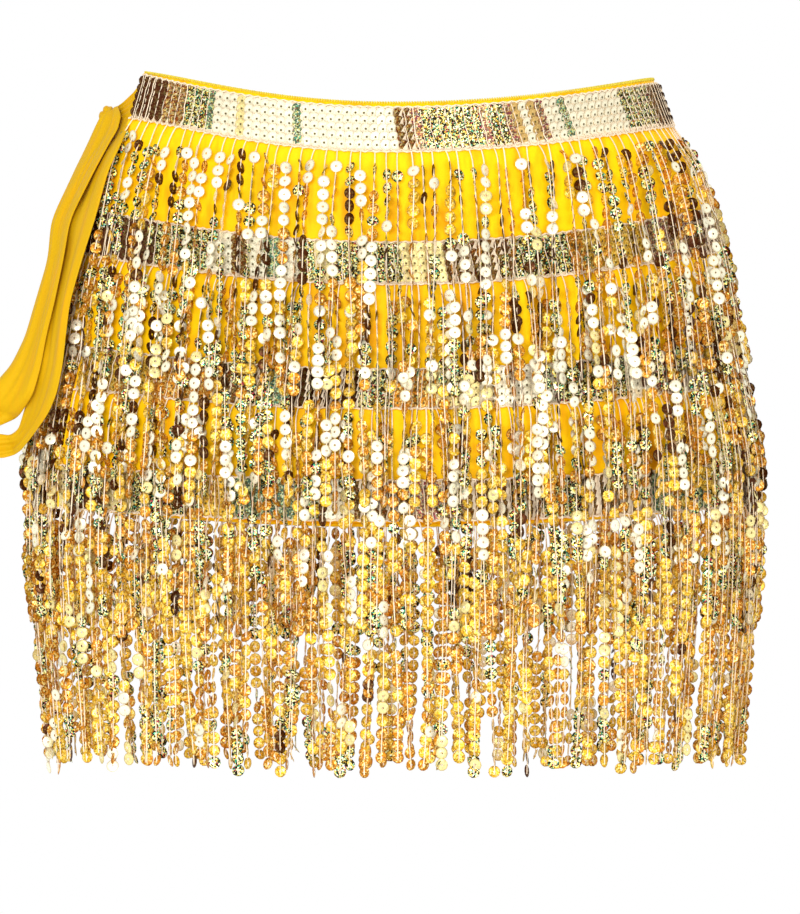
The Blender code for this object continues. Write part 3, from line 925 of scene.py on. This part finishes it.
class SCARF_OT_panel(bpy.types.Operator):
    """Adds the chiffon panel that goes once round the hips, with its overcast top edge"""

    bl_idname = "scarf.panel"
    bl_label = "Chiffon panel"

    def execute(self, context):
        materials = make_materials()
        chiffon = materials["yellow chiffon"]

        def place(share_along, share_down):
            return on_form(PANEL_ANGLE * share_along, HEM_DROP * share_down, 0.0)

        panel = add_shell("wrap_cloth", *PANEL_FACES, place, context.scene.scarf_sizes.cloth_thickness)
        finish_piece(panel, chiffon, "yellow_chiffon", "wrap_panel")
        along = np.linspace(0.0, PANEL_ANGLE, 900)
        outward, _ = level_axes(form_value("front_end", 0.0) + along, 0.0 * along)
        edge = on_form(along, EDGE_DROP, -0.3)
        loops = coil_round(edge, outward, EDGE_LOOP_RADIUS, EDGE_LOOPS, EDGE_LOOP_POINTS)
        overcast = add_threads("overcast_edge", thread_tree("edge thread", EDGE_THREAD, 4), [loops])
        finish_piece(overcast, materials["overcast thread"], "yellow_chiffon")
        hem_drops = np.linspace(0.5, HEM_DROP - 0.5, 60)
        front_hem = on_form(0.25, hem_drops, 0.2)
        lower_hem = on_form(np.linspace(0.0, PANEL_ANGLE, 400), HEM_DROP - LOWER_HEM_RISE, -0.4)
        hems = add_threads("rolled_hems", thread_tree("hem roll", HEM_ROLL, 6), [front_hem, lower_hem])
        finish_piece(hems, chiffon, "yellow_chiffon")
        length = line_length(on_form(along, HEM_DROP, 0.0))
        height = line_length(on_form(90.0, hem_drops, 0.0))
        return {"FINISHED"}


def end_rise(trim, along):
    """How far the top band climbs towards the panel's top edge at its lapped end."""
    if trim.number > 1:
        return 0.0 * along
    return END_RISE * np.clip(1.0 - along / END_RISE_ANGLE, 0.0, 1.0) ** 2


def run_looks(trim, places, random):
    """The finish of each column of a band, in runs: from the table in front, and by chance elsewhere."""
    table = [run for run in FRONT_RUNS if run.band == trim.number]
    looks = []
    left = 0
    for x, y, _ in places:
        known = next((run.look for run in table if y < 0.0 and x < run.x_end), None)
        if known:
            looks.append(known)
            continue
        if left <= 0:
            look = HIDDEN_RUN_LOOKS[random.integers(len(HIDDEN_RUN_LOOKS))]
            left = random.integers(2, LONGEST_RUN)
        left -= 1
        looks.append(look)
    return looks


def tinted(looks, random, spread):
    """The tint, flakes and painted sparkle of each sequin, with a tint a little darker by chance."""
    tints = np.array([LOOKS[look].tint for look in looks])
    tints = tints * (1.0 - spread * random.random((len(looks), 1)))
    flakes = np.array([LOOKS[look].flakes for look in looks])
    glitter = np.array([LOOKS[look].glitter for look in looks])
    return tints, flakes, glitter


BAND_SEED = 40
BAND_SEQUIN_CORNERS = 10
TAPE_FACES = (240, 4)
TAPE_THICKNESS = 0.0004
# How far out from the cloth the tape and the sequins lie, and how far the sequins keep from the band's edges.
TAPE_OUT = 0.75
SEQUINS_OUT = 1.3
SEQUINS_INSIDE = 0.9
# The first row's place in rows from the top, and the part of a row that is left over below the last.
FIRST_ROW = 0.62
ROWS_SPARE = 0.24
# How far a column leans, in degrees round the form to either side.
COLUMN_SLANT = 0.35
USUAL_TURN = 6.0
BAND_NOD = -8.0
BAND_SCATTER = 1.5
BAND_TINT_SPREAD = 0.12
# The threads of a column, as shares of half its width, where it is sewn close and elsewhere.
CLOSE_THREADS = (0.4, 1.0)
USUAL_THREADS = (1.0,)
STITCHES_INSIDE = 0.6
# The zigzag threads: on the lower edge or the upper, how far inside it, and how far each swings.
Zigzag = namedtuple("Zigzag", "lower inside reach")
ZIGZAGS = (
    Zigzag(False, 0.4, 0.55),
    Zigzag(False, 0.1, 0.3),
    Zigzag(True, -0.6, 0.55),
    Zigzag(True, -0.1, 0.3),
)


class SCARF_OT_bands(bpy.types.Operator):
    """Adds the four bands: a woven tape, rows of overlapping sequins, and the threads that sew them on"""

    bl_idname = "scarf.bands"
    bl_label = "Sequin bands"

    def execute(self, context):
        sizes = context.scene.scarf_sizes
        materials = make_materials()
        sequin = model_sequin("band sequin", sizes.band_sequin_width, BAND_SEQUIN_CORNERS, 0.0, True)
        copies = copies_tree("band sequins", sequin)
        trees = (
            thread_tree("column thread", 0.8 * sizes.thread_width, 3),
            thread_tree("zigzag thread", sizes.thread_width, 3),
        )
        for trim in TRIMS:
            random = np.random.default_rng(BAND_SEED + trim.number)
            tape = self.add_tape(trim, materials["woven tape"])
            columns = evenly_along(0.5 * (trim.top + trim.bottom), sizes.band_column_pitch / MM)
            looks = run_looks(trim, on_form(columns, trim.top, 0.0), random)
            sewn = self.add_columns(trim, columns, looks, copies, sizes.band_rows, random)
            finish_piece(sewn, materials["band sequins"], "sequin_band", f"band_{trim.number}")
            threads = self.add_stitches(trim, columns, looks, trees, random)
            for thread in threads:
                finish_piece(thread, materials["pale thread"], "sequin_band", f"band_{trim.number}")
            length = line_length(on_form(columns, trim.bottom, 0.0))
        drop_helper(sequin)
        return {"FINISHED"}

    def add_tape(self, trim, material):
        def place(share_along, share_down):
            along = BAND_STARTS + (BAND_ENDS - BAND_STARTS) * share_along
            top = trim.top - end_rise(trim, along)
            return on_form(along, top + (trim.bottom - top) * share_down, TAPE_OUT)

        tape = add_shell(f"band_tape_{trim.number}", *TAPE_FACES, place, TAPE_THICKNESS)
        finish_piece(tape, material, "sequin_band", f"band_{trim.number}")
        return tape

    def add_columns(self, trim, columns, looks, copies, rows, random):
        """The overlapping sequins, a column at a time, with brown and ember ones stood more edge on."""
        along = np.repeat(columns, rows)
        shares = np.tile((np.arange(rows) + FIRST_ROW) / (rows + ROWS_SPARE), len(columns))
        top = trim.top + SEQUINS_INSIDE - end_rise(trim, along)
        drop = top + (trim.bottom - SEQUINS_INSIDE - top) * shares
        slant = np.tile(np.linspace(-COLUMN_SLANT, COLUMN_SLANT, rows), len(columns))
        out = SEQUINS_OUT + random.uniform(0.0, 0.1, len(along))
        places = on_form(along + slant, drop, out)
        outward, around = level_axes(form_value("front_end", drop) + along, drop)
        up = unit(on_form(along, drop - 2.0, out) - on_form(along, drop + 2.0, out))
        every = np.repeat(looks, rows)
        yaw = np.where(np.isin(every, ["brown", "ember"]), BROWN_TURN, USUAL_TURN)
        yaw = yaw + np.repeat(random.normal(0.0, BAND_SCATTER, len(columns)), rows)
        yaw = yaw + random.normal(0.0, BAND_SCATTER, len(along))
        turns = facing(outward, around, up, yaw, random.normal(BAND_NOD, BAND_SCATTER, len(along)))
        finish = tinted(every, random, BAND_TINT_SPREAD)
        return add_copies(f"band_sequins_{trim.number}", copies, places, turns, np.ones(len(along)), finish)

    def add_stitches(self, trim, columns, looks, trees, random):
        """The threads between the columns, which show on dark sequins and sink between pale ones."""
        column_tree, zigzag_tree = trees
        half = 0.5 * (columns[1] - columns[0])
        shares = np.linspace(0.0, 1.0, 7)
        chains = []
        for number, column in enumerate(columns):
            top = trim.top + STITCHES_INSIDE - end_rise(trim, column)
            drops = top + (trim.bottom - STITCHES_INSIDE - top) * shares
            out = THREAD_OUTS.get(looks[number], USUAL_THREAD_OUT)
            for beside in CLOSE_THREADS if number < CLOSE_SEWN_COLUMNS else USUAL_THREADS:
                wander = random.normal(0.0, 0.13, len(shares))
                chains.append(on_form(column + beside * half + wander + 0.7 * (shares - 0.5), drops, out))
        between = add_threads(f"column_threads_{trim.number}", column_tree, chains)
        lines = []
        count = int((BAND_ENDS - BAND_STARTS) / (half * 0.9))
        for zigzag in ZIGZAGS:
            along = np.linspace(BAND_STARTS, BAND_ENDS, count) + random.normal(0.0, 0.12, count)
            side = np.where(np.arange(count) % 2 == 0, 1.0, -1.0)
            middle = trim.bottom if zigzag.lower else trim.top - end_rise(trim, along)
            lines.append(on_form(along, middle + zigzag.inside + side * zigzag.reach, 1.6 + 0.3 * side))
        edges = add_threads(f"band_edges_{trim.number}", zigzag_tree, lines)
        return between, edges


def pick_look(table, height, random):
    """A finish by chance, from the table's shares at this height."""
    names = Share._fields[1:]
    heights = [share.height for share in reversed(table)]
    odds = np.array([np.interp(height, heights, [getattr(s, n) for s in reversed(table)]) for n in names])
    return names[random.choice(len(names), p=odds / odds.sum())]


FRINGE_SEED = 70
STRAND_SEQUIN_CORNERS = 11
STRAND_SEQUIN_DISH = 0.00035
# The heights at which a strand's line has points, below its root and then at even steps.
FIRST_FALLS = (0.0, 1.5, 3.5)
EVEN_FALLS_FROM = 6.0
FALL_STEP = 4.0
ROOT_ABOVE = 0.5
# A strand's root is sewn close, and it hangs free over this height, further out the lower it gets.
FREE_OVER = 8.0
ROOT_OUT = 1.2
FREE_OUT = 1.5
OUT_BY_FALL = 0.036
OWN_OUTS = (-0.4, 0.9)
# A strand leaves its root aslant, by its own chance and by the side of the hip that it is on.
ROOT_SCATTER = 0.25
ROOT_SLANT = 0.9
ROOT_PULL = 2.2
SLANT_OVER = 4.5
LEAN = 1.9
WAVERS = (0.2, 0.9)
WAVER_TURNS = (0.7, 1.9)
# How neighbours draw together: how far, in how many bunches round, at a phase that may change with the trim.
Bunch = namedtuple("Bunch", "reach number phase phase_by_trim")
BUNCHES = (Bunch(2.2, 31, 0.0, 0.3), Bunch(1.6, 53, 0.0, 1.7), Bunch(1.2, 87, 2.9, 0.0))
LENGTH_CHANGE = -1.0
LENGTH_SCATTER = 2.5
FEWEST_POINTS = 4

STRAND_END = 1.5
FIRST_SEQUINS = (7.0, 11.0)
# How many sequins in a row stand alike, and how often one of them has a finish of its own.
MOST_ALIKE = 5
OWN_FINISH = 0.3
FACING_SPREAD = 42.0
EDGE_ON = 90.0
OWN_TURN = 10.0
STRAND_NOD = 11.0
# Sequins are strung closer towards a strand's end, by this share.
CLOSER_BELOW = 0.12
STRINGING = (0.94, 1.06)
# The ring, across and deep, from whose middle the strands' sequins look outward.
STRAND_RING = (190.0, 128.0)
# Pale sequins sit in front of their thread, and the others behind it.
PALE_LOOKS = ["cream", "straw"]
PALE_OUT = 0.35
DARK_OUT = -0.55
SEQUIN_SCALES = (0.93, 1.03)
STRAND_TINT_SPREAD = 0.2


class SCARF_OT_fringe(bpy.types.Operator):
    """Adds the strands of each band: a thread that falls over the hips, with sequins strung on it"""

    bl_idname = "scarf.fringe"
    bl_label = "Sequin fringe"

    def execute(self, context):
        sizes = context.scene.scarf_sizes
        materials = make_materials()
        shape = (sizes.sequin_width, STRAND_SEQUIN_CORNERS, STRAND_SEQUIN_DISH)
        sequin = model_sequin("strand sequin", *shape, False)
        copies = copies_tree("strand sequins", sequin)
        thread = thread_tree("strand thread", sizes.thread_width, 3)
        for trim in TRIMS:
            random = np.random.default_rng(FRINGE_SEED + trim.number)
            chains = self.strand_lines(trim, sizes.strand_pitch / MM, random)
            threads = add_threads(f"fringe_threads_{trim.number}", thread, chains)
            finish_piece(threads, materials["pale thread"], "sequin_fringe", f"fringe_{trim.number}")
            strung = self.string_sequins(trim, chains, copies, sizes.sequin_pitch / MM, random)
            finish_piece(strung, materials["strand sequins"], "sequin_fringe", f"fringe_{trim.number}")
        drop_helper(sequin)
        return {"FINISHED"}

    def strand_lines(self, trim, pitch, random):
        """The line of each strand, which leans, wavers and draws together with its neighbours."""
        roots = evenly_along(trim.bottom, trim.closeness * pitch)
        count = len(roots)
        roots = roots + random.normal(0.0, ROOT_SCATTER, count)
        even_falls = np.arange(EVEN_FALLS_FROM, trim.hang + 2.0 * FALL_STEP, FALL_STEP)
        fall = np.concatenate([FIRST_FALLS, even_falls])
        drops = trim.bottom - ROOT_ABOVE + fall
        fall_rows = fall[:, None]
        along = fall_over(roots, drops)
        down = fall_rows / trim.hang
        free = 1.0 - np.exp(-fall_rows / FREE_OVER)
        out = ROOT_OUT + FREE_OUT * free + OUT_BY_FALL * fall_rows + random.uniform(*OWN_OUTS, count) * free
        points = on_form(along, drops[:, None], out)
        angle = form_value("front_end", drops)[:, None] + along
        _, around = level_axes(angle, drops[:, None] + 0.0 * along)
        slant = random.normal(0.0, ROOT_SLANT, count) - ROOT_PULL * np.sin(np.radians(2.0 * angle[0]))
        lean = random.normal(0.0, LEAN, count)
        waver = random.uniform(*WAVERS, count)
        waver_turns = random.uniform(*WAVER_TURNS, count) * down + random.uniform(0.0, 1.0, count)
        bunched = 0.0
        for bunch in BUNCHES:
            phase = bunch.phase + bunch.phase_by_trim * trim.number
            bunched = bunched + bunch.reach * np.sin(np.radians(bunch.number * roots) + phase + 1.5 * down)
        sideways = lean * down + waver * np.sin(2.0 * np.pi * waver_turns) * free + bunched * down
        sideways = sideways + slant * (np.exp(-fall_rows / SLANT_OVER) - 1.0)
        points += around * sideways[..., None]
        lengths = trim.hang + random.normal(LENGTH_CHANGE, LENGTH_SCATTER, count)
        kept = np.maximum(FEWEST_POINTS, np.searchsorted(fall, lengths))
        return [points[: kept[i], i] for i in range(count)]

    def string_sequins(self, trim, chains, copies, pitch, random):
        """Sequins strung at about even distances, that turn about their strand from one to the next."""
        places = []
        ups = []
        yaws = []
        looks = []
        for chain in chains:
            marks = lengths_along(chain)
            at = marks[-1] - STRAND_END
            first = random.uniform(*FIRST_SEQUINS)
            left = 0
            while at > first:
                point = on_line(at, marks, chain)
                above = on_line(at - 2.0, marks, chain)
                deep = -point[2]
                new_stretch = left <= 0
                if new_stretch:
                    faces_out = random.random() < np.interp(deep, FACING_HEIGHTS, FACING_SHARES)
                    left = random.integers(1, MOST_ALIKE)
                    spread = FACING_SPREAD if faces_out else np.interp(deep, FACING_HEIGHTS, EDGE_SPREADS)
                    middle_yaw = random.uniform(-spread, spread) + (0.0 if faces_out else EDGE_ON)
                if new_stretch or random.random() < OWN_FINISH:
                    # Sequins that face out lean to cream as painted reflection, and edge-on ones to dark
                    # amber and brown as painted shade.
                    look = pick_look(FACE_ON_SHARES_WITH_PAINTED_REFLECTION if faces_out else EDGE_ON_SHARES_WITH_PAINTED_SHADE, point[2], random)
                left -= 1
                looks.append(look)
                places.append(point)
                ups.append(unit(above - point))
                yaws.append(middle_yaw + random.normal(0.0, OWN_TURN))
                down = at / trim.hang
                at -= pitch * (1.0 - CLOSER_BELOW * down**2) * random.uniform(*STRINGING)
        places = np.array(places)
        ups = np.array(ups)
        across, deep = STRAND_RING
        outward = np.stack([places[:, 0] / across**2, places[:, 1] / deep**2, 0.0 * places[:, 0]], axis=-1)
        outward = unit(outward)
        outward = unit(outward - ups * np.sum(ups * outward, axis=1, keepdims=True))
        around = np.cross(ups, outward)
        turns = facing(outward, around, ups, np.array(yaws), random.normal(0.0, STRAND_NOD, len(places)))
        in_front = np.where(np.isin(looks, PALE_LOOKS), PALE_OUT, DARK_OUT)
        places = places + outward * in_front[:, None]
        scales = random.uniform(*SEQUIN_SCALES, len(places))
        finish = tinted(looks, random, STRAND_TINT_SPREAD)
        return add_copies(f"fringe_sequins_{trim.number}", copies, places, turns, scales, finish)


def smooth_table(table, count):
    """A short table's columns at many even steps, with their corners rounded off."""
    steps = np.linspace(0.0, len(table) - 1.0, count)
    reach = max(1, count // (2 * len(table)))
    weights = np.hanning(2 * reach + 3)[1:-1]
    columns = {}
    for name in table[0]._fields:
        fine = np.interp(steps, np.arange(len(table)), [getattr(row, name) for row in table])
        before = 2.0 * fine[0] - fine[reach:0:-1]
        after = 2.0 * fine[-1] - fine[-2 : -reach - 2 : -1]
        padded = np.concatenate([before, fine, after])
        columns[name] = np.convolve(padded, weights / weights.sum(), mode="valid")
    return columns


def beside_panel(x, z, proud):
    """Points at the tied side that stand proud of the panel by this much."""
    wide = form_value("half_width", -z) + proud
    deep = form_value("front_depth", -z) + proud
    y = -deep * np.sqrt(np.maximum(SIDE_ROUNDING, 1.0 - (x / wide) ** 2))
    return np.stack([x, y, z], axis=-1)


TIE_CLOTH = 0.0005
TAIL_FACES = (36, 110)
TAIL_ROWS = 120
CORNER_FACES = (32, 24)
CORNER_ROWS = 24
# Each tail's own phase for its lesser folds.
TAIL_PHASES = {"outer": 0.35, "inner": 2.2}
# The lengthwise folds: how deep, how many across, and how each moves with the tail's phase and downward.
TailFold = namedtuple("TailFold", "depth waves phase drift")
TAIL_FOLDS = (TailFold(0.8, 1.5, 0.0, 0.0), TailFold(0.3, 3.0, 1.0, 5.0), TailFold(0.15, 5.0, -1.0, -9.0))
GATHER_DEPTH = 0.55


class SCARF_OT_tie(bpy.types.Operator):
    """Adds the tie: the gathered corner, the knot and the two tails with their soft lengthwise folds"""

    bl_idname = "scarf.tie"
    bl_label = "Tie"

    def execute(self, context):
        # The tie takes the chiffon that is darkened as painted shade.
        cloth = make_materials()["folded chiffon"]
        self.add_tail("outer", OUTER_TAIL, -TAILS_CLOSER, cloth)
        self.add_tail("inner", INNER_TAIL, TAILS_CLOSER, cloth)
        self.add_corner(cloth)
        self.add_knot(cloth)
        return {"FINISHED"}

    def add_tail(self, side, table, further_out, cloth):
        columns = smooth_table(table, TAIL_ROWS)
        proud = columns["proud"] + further_out
        left = beside_panel(columns["left_x"], columns["left_z"], proud)
        right = beside_panel(columns["right_x"], columns["right_z"], proud)
        marks = np.arange(TAIL_ROWS)

        def place(share_across, share_down):
            step = share_down * (TAIL_ROWS - 1)
            near = on_line(step, marks, left)
            across = on_line(step, marks, right) - near
            outward = unit(np.stack([across[:, 1], -across[:, 0], np.zeros(len(step))], axis=-1))
            raised = 0.0
            for fold in TAIL_FOLDS:
                shift = fold.phase * TAIL_PHASES[side] + fold.drift * share_down
                raised = raised + fold.depth * np.sin(2.0 * np.pi * fold.waves * share_across + shift)
            return near + across * share_across[:, None] + outward * raised[:, None]

        tail = add_shell(f"tail_{side}", *TAIL_FACES, place, TIE_CLOTH)
        finish_piece(tail, cloth, "yellow_chiffon", f"tie_tail_{side}")

    def add_corner(self, cloth):
        columns = smooth_table(CORNER, CORNER_ROWS)

        def place(share_down, share_along):
            step = share_along * (CORNER_ROWS - 1)
            along, top, bottom, out = (np.interp(step, np.arange(CORNER_ROWS), c) for c in columns.values())
            gather = GATHER_DEPTH * np.sin(2.0 * np.pi * CORNER_GATHERS * share_down)
            return on_form(along, top + (bottom - top) * share_down, out + gather * (0.3 + 0.7 * share_along))

        corner = add_shell("tie_gathers", *CORNER_FACES, place, TIE_CLOTH)
        finish_piece(corner, cloth, "yellow_chiffon", "tie_corner")

    def add_knot(self, cloth):
        """A ball with one crease across it and the wraps of the strap round it."""
        deselect_all()
        bpy.ops.mesh.primitive_ico_sphere_add(subdivisions=5, radius=1.0)
        knot = bpy.context.active_object
        knot.name = "knot_cloth"
        ball = read_points(knot)
        crease = 0.16 * np.exp(-(((ball[:, 0] + ball[:, 2]) / 0.22) ** 2))
        wraps = 0.04 * np.sin(9.0 * (ball[:, 0] - ball[:, 2]) + 2.0 * ball[:, 1])
        shape = ball * (1.0 - crease + wraps)[:, None]
        write_points(knot, shape * np.array(KNOT_RADII) + np.array(KNOT_CENTRE))
        finish_piece(knot, cloth, "yellow_chiffon", "tie_knot")


FLOOR_WIDTH = 12.0
# The softboxes: where each stands, its width and its power.
LIGHTS = {
    "key": ((-0.9, -3.4, 0.7), 1.4, 66.0),
    "fill": ((1.7, -3.2, -0.4), 1.6, 38.0),
    "back": ((0.4, 2.8, 1.6), 1.8, 30.0),
}
LIGHTS_AIM = (0.0, 0.0, -0.18)
SEEN_WHITE = (1.0, 1.0, 1.0, 1.0)
LIT_WHITE = (1.0, 0.99, 0.97, 1.0)
SENSOR_WIDTH = 36.0


class SCARF_OT_stage(bpy.types.Operator):
    """Adds the pale floor, the soft studio lights and the level camera"""

    bl_idname = "scarf.stage"
    bl_label = "Stage"

    def execute(self, context):
        stage = context.scene.scarf_stage
        self.add_floor(stage)
        for name, (place, width, power) in LIGHTS.items():
            self.add_light(name, place, width, power)
        self.light_surroundings(context.scene)
        self.add_camera(context.scene, stage)
        context.scene.view_settings.view_transform = "Standard"
        return {"FINISHED"}

    def add_floor(self, stage):
        deselect_all()
        bpy.ops.mesh.primitive_plane_add(size=FLOOR_WIDTH, location=(0.0, 0.0, stage.floor_z))
        floor = bpy.context.active_object
        floor.name = "floor"
        material, tree, shader = new_material("pale floor", FLOOR_FINISH)
        noise = add_node(tree, "ShaderNodeTexNoise", {"Scale": 6.0})
        tone = rescaled(tree, noise.outputs["Fac"], to_min=0.84, to_max=0.88)
        tree.links.new(tone, shader.inputs["Base Color"])
        floor.data.materials.append(material)

    def add_light(self, name, place, width, power):
        """A square softbox that looks at the middle of the scarf."""
        lamp = bpy.data.lights.new(name, "AREA")
        lamp.size = width
        lamp.energy = power
        light = bpy.data.objects.new(name, lamp)
        light.location = place
        aim = Vector(LIGHTS_AIM) - light.location
        light.rotation_euler = aim.to_track_quat("-Z", "Y").to_euler()
        bpy.context.scene.collection.objects.link(light)

    def light_surroundings(self, scene):
        """An even surround, a little warmer as a light than as the background that the camera sees."""
        world = bpy.data.worlds.new("white surround")
        world.use_nodes = True
        tree = world.node_tree
        seen = tree.nodes["Background"]
        seen.inputs["Color"].default_value = SEEN_WHITE
        seen.inputs["Strength"].default_value = 1.0
        lighting = add_node(tree, "ShaderNodeBackground", {"Color": LIT_WHITE, "Strength": 1.0})
        path = tree.nodes.new("ShaderNodeLightPath").outputs["Is Camera Ray"]
        either_inputs = {0: path, 1: lighting.outputs["Background"], 2: seen.outputs["Background"]}
        either = add_node(tree, "ShaderNodeMixShader", either_inputs)
        tree.links.new(either.outputs["Shader"], tree.nodes["World Output"].inputs["Surface"])
        scene.world = world

    def add_camera(self, scene, stage):
        camera = bpy.data.cameras.new("camera")
        camera.sensor_fit = "HORIZONTAL"
        camera.sensor_width = SENSOR_WIDTH
        camera.lens = SENSOR_WIDTH * stage.camera_distance / stage.view_width
        camera.clip_end = 60.0
        viewer = bpy.data.objects.new("camera", camera)
        viewer.location = (stage.camera_x, -stage.camera_distance, stage.camera_z)
        viewer.rotation_euler = (math.radians(90.0), 0.0, 0.0)
        scene.collection.objects.link(viewer)
        scene.camera = viewer


class SCARF_PT_pieces(bpy.types.Panel):
    bl_idname = "SCARF_PT_pieces"
    bl_label = "Hip scarf"
    bl_space_type = "VIEW_3D"
    bl_region_type = "UI"
    bl_category = "Hip scarf"

    def draw(self, context):
        for group in (context.scene.scarf_sizes, context.scene.scarf_colours, context.scene.scarf_stage):
            for name in group.__annotations__:
                self.layout.prop(group, name)
        for operator in PIECES:
            self.layout.operator(operator.bl_idname)


PIECES = (SCARF_OT_panel, SCARF_OT_bands, SCARF_OT_fringe, SCARF_OT_tie, SCARF_OT_stage)
SETTINGS = (("scarf_sizes", ScarfSizes), ("scarf_colours", ScarfColours), ("scarf_stage", ScarfStage))


def register():
    for name, group in SETTINGS:
        bpy.utils.register_class(group)
        setattr(bpy.types.Scene, name, PointerProperty(type=group))
    for cls in (*PIECES, SCARF_PT_pieces):
        bpy.utils.register_class(cls)


def unregister():
    for cls in reversed((*PIECES, SCARF_PT_pieces)):
        bpy.utils.unregister_class(cls)
    for name, group in reversed(SETTINGS):
        delattr(bpy.types.Scene, name)
        bpy.utils.unregister_class(group)


def main():
    register()
    bpy.ops.scarf.panel()
    bpy.ops.scarf.bands()
    bpy.ops.scarf.fringe()
    bpy.ops.scarf.tie()
    bpy.ops.scarf.stage()


if __name__ == "__main__":
    main()
